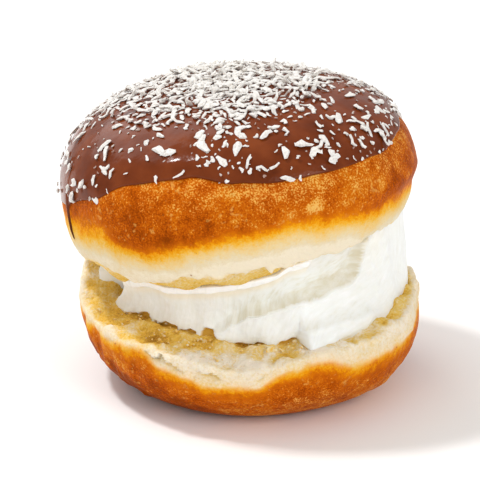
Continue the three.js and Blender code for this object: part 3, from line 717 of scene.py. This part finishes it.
def icing_shell(bun, thickness):
    """The icing: up the dome from a rounded edge that stands on the bun, with gentle swells. Its
    inner face lies just under the dome's skin."""
    angle = turn_angles()
    edge = icing_edge(angle)
    near_edge = 0.12
    share = np.concatenate([
        np.linspace(0, near_edge, ICING_RINGS["edge"]), np.linspace(near_edge, 1, ICING_RINGS["dome"])[1:],
    ])[:, None]
    lift = mix(edge, np.pi / 2, share)
    run = DOME_RUN * (lift - edge)
    rounded = 0.6 * np.sqrt(1 - (1 - np.clip(run / 0.7, 0, 1)) ** 2) + 0.4 * ease(run, 0, 7)
    plain = turned(*bun.skin(angle, lift), angle)
    height = (thickness + bumps(plain, (0.3, 13, 33), (0.12, 5, 34), (0.05, 2.4, 35))) * rounded
    outside = turned(*bun.skin(angle, lift, height - ICING_BED), angle)
    down = np.linspace(0, 1, ICING_RINGS["inside"], endpoint=False)[:, None]
    inside = turned(*bun.skin(angle, mix(np.pi / 2, edge, down), -ICING_DEPTH), angle)
    points = np.concatenate([inside, outside])
    points[[0, -1], :, :2] = 0
    return ring_mesh("icing_coat", bun.place(points))


def chips(long, wide, thick, curl, seed):
    """Irregular chips lying in the XY plane, one for each length: rings of a few corners along X whose
    radii vary, bent into an arc, with a point at each end. Shape (chips, corners, 3), and the faces."""
    draw = np.random.default_rng(seed)
    count, rings, corners = len(long), len(CHIP_PLACES), CHIP_CORNERS
    long, wide, thick, curl = (value[:, None, None] for value in (long, wide, thick, curl))
    along = CHIP_PLACES + draw.uniform(-0.08, 0.04, (count, rings)) * np.array((-1, 1, 1, 1))
    spread = CHIP_WIDTHS * draw.uniform(0.6, 1.3, (count, rings))
    turn = np.arange(corners) * 2 * np.pi / corners + draw.uniform(-0.4, 0.4, (count, 1, corners))
    size = draw.uniform(0.6, 1.3, (count, rings, corners)) * spread[..., None]
    sway = draw.normal(0, 0.16, (count, rings, 1)) * wide
    x = along[..., None] * long + 0 * size
    y = size * np.cos(turn) * wide + sway
    z = size * np.sin(turn) * thick
    ends = long * np.array(((-0.5, 0, 0), (0.5, 0, 0)))
    points = np.concatenate([np.stack([x, y, z], axis=-1).reshape(count, -1, 3), ends], axis=1)
    points[..., 2] += (curl / long)[..., 0] * points[..., 0] ** 2
    quads, caps = tube_faces(rings, corners, 0, rings * corners, rings * corners + 1)
    faces = np.concatenate([quads[:, [0, 1, 2]], quads[:, [0, 2, 3]], caps])
    return points, (faces[None] + points.shape[1] * np.arange(count)[:, None, None]).reshape(-1, 3)


def lay(points, at, up, spin, tilt):
    """Chips turned by their spins, tilted out of the plane, laid on a surface with the given normals."""
    cos, sin, steep, raised = (wave(turn)[:, None] for turn in (spin, tilt) for wave in (np.cos, np.sin))
    side = np.cross(up, np.array((0.31, 0.84, 0.45)))
    side /= np.linalg.norm(side, axis=-1, keepdims=True)
    flat = cos * side + sin * np.cross(up, side)
    axes = np.stack([steep * flat + raised * up, np.cross(up, flat), steep * up - raised * flat], axis=1)
    return at[:, None] + np.einsum("nck,nkd->ncd", points, axes)


def spread_apart(angle, reach, gap=0.045, push=0.3, rounds=8, farthest=1.03):
    """Scattered places pushed apart where, seen from above, they lie closer than the gap, which is a
    share of the dome's width. The dome is a superellipse, so the way out is a power of the reach."""
    plan = reach[:, None] ** (2 / DOME_POWER) * np.stack([np.cos(angle), np.sin(angle)], axis=-1)
    for _ in range(rounds):
        offset = plan[:, None] - plan[None]
        distance = np.linalg.norm(offset, axis=-1) + 1e-6
        closeness = np.clip(gap - distance, 0, None) / distance
        plan = plan + push * (offset * closeness[..., None]).sum(axis=1)
    reach = np.linalg.norm(plan, axis=-1) ** (DOME_POWER / 2)
    return np.arctan2(plan[:, 1], plan[:, 0]), np.minimum(reach, farthest)


def coconut_flakes(bun, thickness, settings):
    """Coconut on the icing. The first flakes are the solids' own, on an even scatter. The rest are
    drawn closer together near the top of the dome and pile up there. The icing wets some of the
    smallest."""
    draw = np.random.default_rng(5)
    count = settings.count
    even_turn, even_reach, even_size = (np.mod(0.5 + np.arange(CAD_FLAKES) * step, 1) for step in EVEN_STEPS)

    tries, strewn_count = 12 * count, count - CAD_FLAKES
    angle, reach = draw.uniform(-np.pi, np.pi, tries), draw.uniform(0, 1, tries) ** 0.75
    strewn = draw.uniform(0, 1, tries) < mix(1, around(SPARSE_COCONUT, angle), ease(reach, *CARPET))
    angle, reach = spread_apart(angle[strewn][:strewn_count], reach[strewn][:strewn_count])
    carpet = 1 - ease(reach, *CARPET)
    size = mix(settings.shortest / MM, settings.longest / MM, draw.beta(mix(0.9, 2.8, carpet), 2.6))
    angle = np.concatenate([2 * np.pi * even_turn, angle])
    reach = np.concatenate([0.93 * even_reach**0.6, reach])
    pile = np.concatenate([np.zeros(CAD_FLAKES), 0.9 * carpet * draw.uniform(0, 1, len(carpet)) ** 1.3])
    size = np.concatenate([mix(2.6, 5.4, even_size), size])
    lift = mix(np.pi / 2, np.radians(around(ICING_EDGE, angle)), reach)
    width = np.clip(size * draw.uniform(0.25, 0.75, count), 0.4, 1.9)
    depth = np.clip(width * draw.uniform(0.35, 0.7, count), 0.3, 1.0)
    tilt = draw.normal(0, 0.2, count) + pile * draw.normal(0, 0.8, count)
    points, faces = chips(size, width, depth, draw.normal(0, 0.25, count), 6)
    off = thickness * (1 - ease(reach, 0.98, 1)) + 0.05 + 0.25 * depth + pile
    at, above = (turned(*bun.skin(angle, lift, off + step), angle) for step in (0, 1))
    laid = lay(points, at, above - at, draw.uniform(0, 2 * np.pi, count), tilt)
    mesh = fill_mesh("coconut", bun.place(laid.reshape(-1, 3)), [faces], False)
    soaked_and_shaded = draw.uniform(0, 1, count) < mix(0.5, 0, ease(size, 0.8, 1.8))
    wet = np.where(soaked_and_shaded, draw.uniform(0.3, 0.9, count), 0)
    wet[:CAD_FLAKES] = 0
    add_attribute(mesh, "wet", np.repeat(wet, points.shape[1]))
    return mesh


def crumb_bits(bun):
    """Crumbs torn off the bun, strewn on the lower cut face in front of the cream."""
    draw = np.random.default_rng(11)
    angle = np.radians(draw.normal(-12, 34, CRUMBS))
    radius = mix(around(CREAM_RADIUS, angle) - 1, 43.0, draw.uniform(0, 1, CRUMBS) ** 0.8)
    at = turned(radius, 0, angle)
    size = draw.gamma(1.6, 0.24, CRUMBS) + 0.3
    at[..., 2] = bun.lower_cut(at) + 0.25 * size
    up = np.tile((0.0, 0.0, 1.0), (CRUMBS, 1))
    points, faces = chips(size, 0.8 * size, 0.6 * size, np.zeros(CRUMBS), 12)
    laid = lay(points, at, up, draw.uniform(0, 2 * np.pi, CRUMBS), draw.normal(0, 0.4, CRUMBS))
    return fill_mesh("crumbs", laid.reshape(-1, 3), [faces], False)


def connect(tree, node, inputs):
    """Sets a node's inputs, or links them where the value is another node's output."""
    for key, value in inputs.items():
        if isinstance(value, bpy.types.NodeSocket):
            tree.links.new(value, node.inputs[key])
        else:
            node.inputs[key].default_value = value


def add_node(tree, kind, settings, inputs):
    """Adds a node, applies its own settings, and sets or links its inputs."""
    made = tree.nodes.new(kind)
    for key, value in settings.items():
        setattr(made, key, value)
    connect(tree, made, inputs)
    return made


def new_material(name):
    """An empty material with its node tree, its shader and Object coordinates."""
    material = bpy.data.materials.new(name)
    material.use_nodes = True
    tree = material.node_tree
    place = add_node(tree, "ShaderNodeTexCoord", {}, {}).outputs["Object"]
    return material, tree, tree.nodes["Principled BSDF"], place


def attribute(tree, name, kind="Fac"):
    """What a mesh says at each point under this name, as a number or as a vector."""
    return add_node(tree, "ShaderNodeAttribute", {"attribute_name": name}, {}).outputs[kind]


def speckle(tree, place, size, detail, roughness=0.5):
    """Noise over places in metres, with grains of a width in millimetres."""
    return add_node(tree, "ShaderNodeTexNoise", {}, {
        "Vector": place, "Scale": 1 / (size * MM), "Detail": detail, "Roughness": roughness,
    }).outputs["Fac"]


def add_share(tree, value, share, total):
    """A total with a share of a value added to it."""
    return add_node(tree, "ShaderNodeMath", {"operation": "MULTIPLY_ADD"}, {
        0: value, 1: share, 2: total,
    }).outputs[0]


def ramp(tree, value, stops):
    """Colours over a value. A stop's colour is a hex code or linear red, green and blue."""
    made = add_node(tree, "ShaderNodeValToRGB", {}, {"Fac": value})
    elements = made.color_ramp.elements
    for _ in stops[2:]:
        elements.new(0.5)
    for element, (at, shade) in zip(elements, stops):
        element.position = at
        element.color = (*(linear(shade) if isinstance(shade, str) else shade), 1)
    return made.outputs["Color"]


def cover(tree, under, over, share):
    """A colour with a share of another one over it, which may be a hex code."""
    over = (*linear(over), 1) if isinstance(over, str) else over
    return add_node(tree, "ShaderNodeMix", {"data_type": "RGBA"}, {0: share, 6: under, 7: over}).outputs[2]


def relief(tree, height, strength, depth):
    """Normals of a surface that is bumped by a height, with the depth in millimetres."""
    return add_node(tree, "ShaderNodeBump", {}, {
        "Strength": strength, "Distance": depth * MM, "Height": height,
    }).outputs["Normal"]


def grey(level):
    """A grey for a colour ramp that carries a number."""
    return (level, level, level)


def fried_dough(settings):
    """Yeast dough fried in fat: a brown crust freckled with paler blisters, a golden edge, a pale band
    that stayed above the fat, and open yellow crumb where the bun was torn. The real specks and pores
    go down to 0.1 mm, too fine to show, so they are drawn 0.45 and 0.7 mm wide."""
    material, tree, shader, place = new_material("fried_dough")
    pale, golden, crust, dark, crumb = (
        tuple(getattr(settings, name)) for name in ("pale", "golden", "crust", "dark_crust", "crumb")
    )
    made = {name: attribute(tree, name) for name in ("bake", "torn", "rim", "tan")}
    # The brownness also carries painted light from the lower half's table and wrinkles.
    made["cooked_and_painted_light"] = add_node(
        tree, "ShaderNodeMath", {"operation": "MAXIMUM"}, {0: made["tan"], 1: -1.0}
    ).outputs[0]
    # Noises, with the width of their grains in millimetres, their detail and their roughness.
    for name, *kind in (
        ("mottle", 4, 4, 0.6), ("freckled", 9, 1, 0.5), ("speck", 0.45, 3, 0.6),
        ("bubble", 1.3, 1, 0.5), ("pore", 0.7, 3, 0.65), ("damp", 6, 2, 0.5),
    ):
        made[name] = speckle(tree, place, *kind)
    # Weighted sums, with the number that each starts from and the share of each pattern in it.
    for name, total, shares in (
        ("level", -0.27, {"bake": 1, "cooked_and_painted_light": 0.08, "damp": 0.22, "bubble": 0.16, "speck": 0.22}),
        ("browning", -0.57, {"tan": -0.12, "freckled": 0.45, "mottle": 0.7, "speck": 0.95}),
        ("blister", -0.25, {"freckled": 0.5, "bubble": 1}),
        ("fleck_and_glint", -0.58, {"bake": 0.3, "tan": -0.07, "mottle": 0.6, "speck": 1}),
        ("opened", -0.2, {"damp": 0.5, "pore": 0.9, "rim": 0.42}),
        ("crust_relief", 0, {"bubble": 0.6, "speck": 0.35}),
        ("crumb_relief", 0, {"pore": 1.5}),
        ("crust_roughness", 0.2, {"speck": 0.4}),
    ):
        for pattern, share in shares.items():
            total = add_share(tree, made[pattern], share, total)
        made[name] = total
    # Colour ramps over these: three of colours, and four that say how strongly another colour shows.
    for name, value, stops in (
        ("skin", "level", (
            (0.06, "#ebdfc6"), (0.15, pale), (0.25, "#e6ce9c"), (0.35, "#e8c684"), (0.43, "#eabc60"),
            (0.49, "#ebaf36"), (0.56, golden), (0.62, "#dd7e08"), (0.69, "#c9640b"),
        )),
        ("fried", "browning", (
            (0.22, "#8a3c04"), (0.36, dark), (0.5, crust), (0.61, "#d0720e"), (0.74, "#df9434"),
            (0.88, "#ecb96c"),
        )),
        ("inside", "opened", (
            (0.22, "#bd8a36"), (0.34, "#d6a54a"), (0.46, crumb), (0.62, "#f0cd74"), (0.8, "#f3dcae"),
            (0.98, "#faeedb"),
        )),
        ("blisters", "blister", ((0.65, grey(0)), (0.78, grey(0.5)))),
        ("flecks_and_glints", "fleck_and_glint", ((0.6, grey(0)), (0.72, grey(0.75)))),
        ("browned", "level", ((0.58, grey(0)), (0.78, grey(1)))),
        ("scorched", "bubble", ((0.775, grey(0)), (0.795, grey(0.6)))),
    ):
        made[name] = ramp(tree, made[value], stops)
    # Each colour that lies over another, and what it shows by.
    # The golden flecks are partly the crust's own pale specks and partly painted glints of fat, as its
    # specular is nearly nil.
    for under, over, by in (
        ("fried", "#e9ae55", "blisters"), ("fried", "#ecb65c", "flecks_and_glints"), ("skin", "fried", "browned"),
        ("skin", "#8a4a10", "scorched"), ("skin", "inside", "torn"),
    ):
        made[under] = cover(tree, made[under], made.get(over, over), made[by])
    height, roughness = (
        add_node(tree, "ShaderNodeMix", {}, {0: made["torn"], 2: made[on_crust], 3: on_crumb}).outputs[0]
        for on_crust, on_crumb in (("crust_relief", made["crumb_relief"]), ("crust_roughness", 0.9))
    )
    connect(tree, shader, {
        "Base Color": made["skin"], "Roughness": roughness, "Normal": relief(tree, height, 0.7, 0.8),
        "IOR": 1.45, "Specular IOR Level": 0.012, "Subsurface Weight": 0.06,
        "Subsurface Radius": (1.0, 0.55, 0.25), "Subsurface Scale": 1.6 * MM,
    })
    return material


def whipped_cream(settings):
    """Stiff whipped cream: nearly white, light passes a few millimetres into it, fine spatula streaks.
    Its real bubbles are too fine to show, so the froth is drawn 0.9 mm wide. Painted light lies in its
    colour: a painted highlight on the bead, painted shade above the folds, and golden painted shade
    under the bead, in torn recesses and behind the lip."""
    material, tree, shader, place = new_material("whipped_cream")
    sweep, tone, stain = attribute(tree, "sweep", "Vector"), attribute(tree, "tone"), attribute(tree, "stain")
    # The sweep is in millimetres, so this scale makes streaks 1.1 mm wide.
    streak = add_node(tree, "ShaderNodeTexNoise", {}, {
        "Vector": sweep, "Scale": 0.9, "Detail": 4.0, "Roughness": 0.6,
    }).outputs["Fac"]
    froth = speckle(tree, place, 0.9, 2)
    toned, height = add_share(tree, tone, 0.35, streak), add_share(tree, froth, 0.7, streak)
    # Golden painted shade under the bead, in the torn recesses and behind the lip, as a share that picks its
    # tint.
    soaked_and_shaded = add_node(tree, "ShaderNodeMath", {"operation": "DIVIDE"}, {0: stain, 1: 3.0}).outputs[0]
    # Streaked cream, with the painted highlight on the bead and the painted shade above the folds.
    tint_with_painted_light = ramp(tree, toned, (
        (0.05, "#dfdbc8"), (0.33, "#eff0eb"), (0.62, tuple(settings.cream)), (0.85, "#ffffff"),
    ))
    stained_tint = ramp(tree, soaked_and_shaded, ((0.33, "#f0dcae"), (0.9, "#d9a83c")))
    connect(tree, shader, {
        "Base Color": cover(tree, tint_with_painted_light, stained_tint, stain), "Normal": relief(tree, height, 0.4, 0.4),
        "Roughness": 0.55, "IOR": 1.36, "Subsurface Weight": 0.15,
        "Subsurface Radius": (1.0, 0.85, 0.65), "Subsurface Scale": 1.2 * MM,
    })
    return material


def milk_chocolate(settings):
    """Milk chocolate icing, poured and set: a soft gloss over gentle swells, slightly mottled."""
    material, tree, shader, place = new_material("milk_chocolate")
    swirl, ripple = speckle(tree, place, 9, 3), speckle(tree, place, 2.5, 2)
    tint = ramp(tree, swirl, ((0.32, "#602709"), (0.5, tuple(settings.chocolate)), (0.7, "#7e3c19")))
    gloss = add_node(tree, "ShaderNodeMapRange", {}, {"Value": ripple, "To Min": 0.07, "To Max": 0.2})
    connect(tree, shader, {
        "Base Color": tint, "Roughness": gloss.outputs["Result"], "Normal": relief(tree, ripple, 0.25, 0.4),
        "IOR": 1.46, "Specular IOR Level": 0.17,
    })
    return material


def dried_coconut(settings):
    """Desiccated coconut: dry white flesh, faintly fibrous, browned where the icing has wetted it. Its
    real fibres are too fine to show, so they are drawn 0.6 mm wide."""
    material, tree, shader, place = new_material("dried_coconut")
    fibre = speckle(tree, place, 0.6, 2)
    flesh = ramp(tree, fibre, ((0.3, "#d4cec6"), (0.6, tuple(settings.flesh))))
    tint = cover(tree, flesh, "#8d5f4a", attribute(tree, "wet"))
    connect(tree, shader, {
        "Base Color": tint, "Normal": relief(tree, fibre, 0.5, 0.2), "Roughness": 0.6,
        "Subsurface Weight": 0.2, "Subsurface Radius": (1.0, 0.9, 0.8), "Subsurface Scale": 0.8 * MM,
    })
    return material


def torn_crumb(settings):
    """Loose crumbs of the bun's inside: pale yellow, matt and porous."""
    material, tree, shader, place = new_material("torn_crumb")
    pore = speckle(tree, place, 1.2, 3)
    tint = ramp(tree, pore, ((0.35, tuple(settings.crumb)), (0.6, "#eddfb8")))
    connect(tree, shader, {
        "Base Color": tint, "Normal": relief(tree, pore, 0.6, 0.3), "Roughness": 0.85,
    })
    return material


def studio_paper(settings):
    """Matt white paper of a photographer's table. Its tooth is drawn 1.5 mm wide, coarser than real."""
    material, tree, shader, place = new_material("studio_paper")
    tooth = speckle(tree, place, 1.5, 2)
    connect(tree, shader, {
        "Base Color": (*settings.floor, 1), "Normal": relief(tree, tooth, 0.05, 0.1), "Roughness": 0.9,
    })
    return material


class DOUGHNUT_OT_bun(bpy.types.Operator):
    """Make the two halves of the bun, which meet at the hinge"""

    bl_idname = "doughnut.bun"
    bl_label = "Bun"

    def execute(self, context):
        settings = context.scene.doughnut
        bun, dough = Bun(settings.bun), fried_dough(settings.bun)
        add_piece(lower_half(bun), dough, "fried_dough", "bun")
        add_piece(upper_half(bun), dough, "fried_dough", "bun")
        return {"FINISHED"}


class DOUGHNUT_OT_cream(bpy.types.Operator):
    """Make the folds of whipped cream in the slit"""

    bl_idname = "doughnut.cream"
    bl_label = "Cream"

    def execute(self, context):
        settings = context.scene.doughnut
        mesh = cream_filling(Bun(settings.bun), settings.cream.streak / MM)
        add_piece(mesh, whipped_cream(settings.cream), "whipped_cream", "cream")
        return {"FINISHED"}


class DOUGHNUT_OT_icing(bpy.types.Operator):
    """Make the chocolate icing on the dome"""

    bl_idname = "doughnut.icing"
    bl_label = "Icing"

    def execute(self, context):
        settings = context.scene.doughnut
        mesh = icing_shell(Bun(settings.bun), settings.icing.thickness / MM)
        add_piece(mesh, milk_chocolate(settings.icing), "chocolate", "icing")
        return {"FINISHED"}


class DOUGHNUT_OT_coconut(bpy.types.Operator):
    """Strew coconut on the icing"""

    bl_idname = "doughnut.coconut"
    bl_label = "Coconut"

    def execute(self, context):
        settings = context.scene.doughnut
        mesh = coconut_flakes(Bun(settings.bun), settings.icing.thickness / MM, settings.coconut)
        add_piece(mesh, dried_coconut(settings.coconut), "coconut", "icing")
        return {"FINISHED"}


class DOUGHNUT_OT_crumbs(bpy.types.Operator):
    """Strew crumbs on the lower cut face"""

    bl_idname = "doughnut.crumbs"
    bl_label = "Crumbs"

    def execute(self, context):
        settings = context.scene.doughnut
        add_piece(crumb_bits(Bun(settings.bun)), torn_crumb(settings.bun), "fried_dough")
        return {"FINISHED"}


class DOUGHNUT_OT_stage(bpy.types.Operator):
    """Set up the floor, the soft lights and the camera"""

    bl_idname = "doughnut.stage"
    bl_label = "Stage"

    def execute(self, context):
        scene, settings = context.scene, context.scene.doughnut.stage
        corners = FLOOR_HALF * np.array(((-1, -1, 0), (1, -1, 0), (1, 1, 0), (-1, 1, 0)))
        paper = fill_mesh("floor", corners, [np.array([[0, 1, 2, 3]])], False)
        paper.materials.append(studio_paper(settings))
        floor = bpy.data.objects.new("floor", paper)
        scene.collection.objects.link(floor)

        for name, place, size, power in LIGHTS:
            lamp = bpy.data.lights.new(name, "AREA")
            lamp.size, lamp.energy = size, power
            light = bpy.data.objects.new(name, lamp)
            light.location = place
            light.rotation_mode = "QUATERNION"
            light.rotation_quaternion = (LIGHT_AIM - light.location).to_track_quat("-Z", "Y")
            scene.collection.objects.link(light)
        world = bpy.data.worlds.new("studio")
        world.use_nodes = True
        sky = world.node_tree.nodes["Background"]
        connect(world.node_tree, sky, {"Color": (1, 1, 1, 1), "Strength": SKY_STRENGTH})
        scene.world = world
        scene.view_settings.view_transform = "Standard"

        lens = bpy.data.cameras.new("camera")
        lens.sensor_width = SENSOR_WIDTH
        lens.lens = SENSOR_WIDTH * settings.distance / FRAME_WIDTH
        camera = bpy.data.objects.new("camera", lens)
        back = Vector((0, -np.cos(settings.elevation), np.sin(settings.elevation)))
        camera.location = CAMERA_AIM + back * settings.distance
        camera.rotation_mode = "QUATERNION"
        camera.rotation_quaternion = (-back).to_track_quat("-Z", "Y")
        scene.collection.objects.link(camera)
        scene.camera = camera
        return {"FINISHED"}


class DOUGHNUT_PT_sidebar(bpy.types.Panel):
    """Lists the doughnut's pieces and the stage"""

    bl_idname = "DOUGHNUT_PT_sidebar"
    bl_label = "Cream-filled doughnut"
    bl_space_type = "VIEW_3D"
    bl_region_type = "UI"
    bl_category = "Doughnut"

    def draw(self, context):
        settings = context.scene.doughnut
        for operator, group in PIECES:
            self.layout.operator(operator.bl_idname)
            for key in getattr(settings, group).bl_rna.properties.keys()[2:]:
                self.layout.prop(getattr(settings, group), key)


PIECES = (
    (DOUGHNUT_OT_bun, "bun"),
    (DOUGHNUT_OT_cream, "cream"),
    (DOUGHNUT_OT_icing, "icing"),
    (DOUGHNUT_OT_coconut, "coconut"),
    (DOUGHNUT_OT_crumbs, "bun"),
    (DOUGHNUT_OT_stage, "stage"),
)
CLASSES = (
    BunSettings, CreamSettings, IcingSettings, CoconutSettings, StageSettings, DoughnutSettings,
    *(operator for operator, _ in PIECES), DOUGHNUT_PT_sidebar,
)


def register():
    for cls in CLASSES:
        bpy.utils.register_class(cls)
    bpy.types.Scene.doughnut = bpy.props.PointerProperty(type=DoughnutSettings)


def unregister():
    del bpy.types.Scene.doughnut
    for cls in reversed(CLASSES):
        bpy.utils.unregister_class(cls)


def main():
    """Registers the classes, and makes every piece and the stage."""
    register()
    for operator, _ in PIECES:
        group, name = operator.bl_idname.split(".")
        getattr(getattr(bpy.ops, group), name)()


if __name__ == "__main__":
    main()
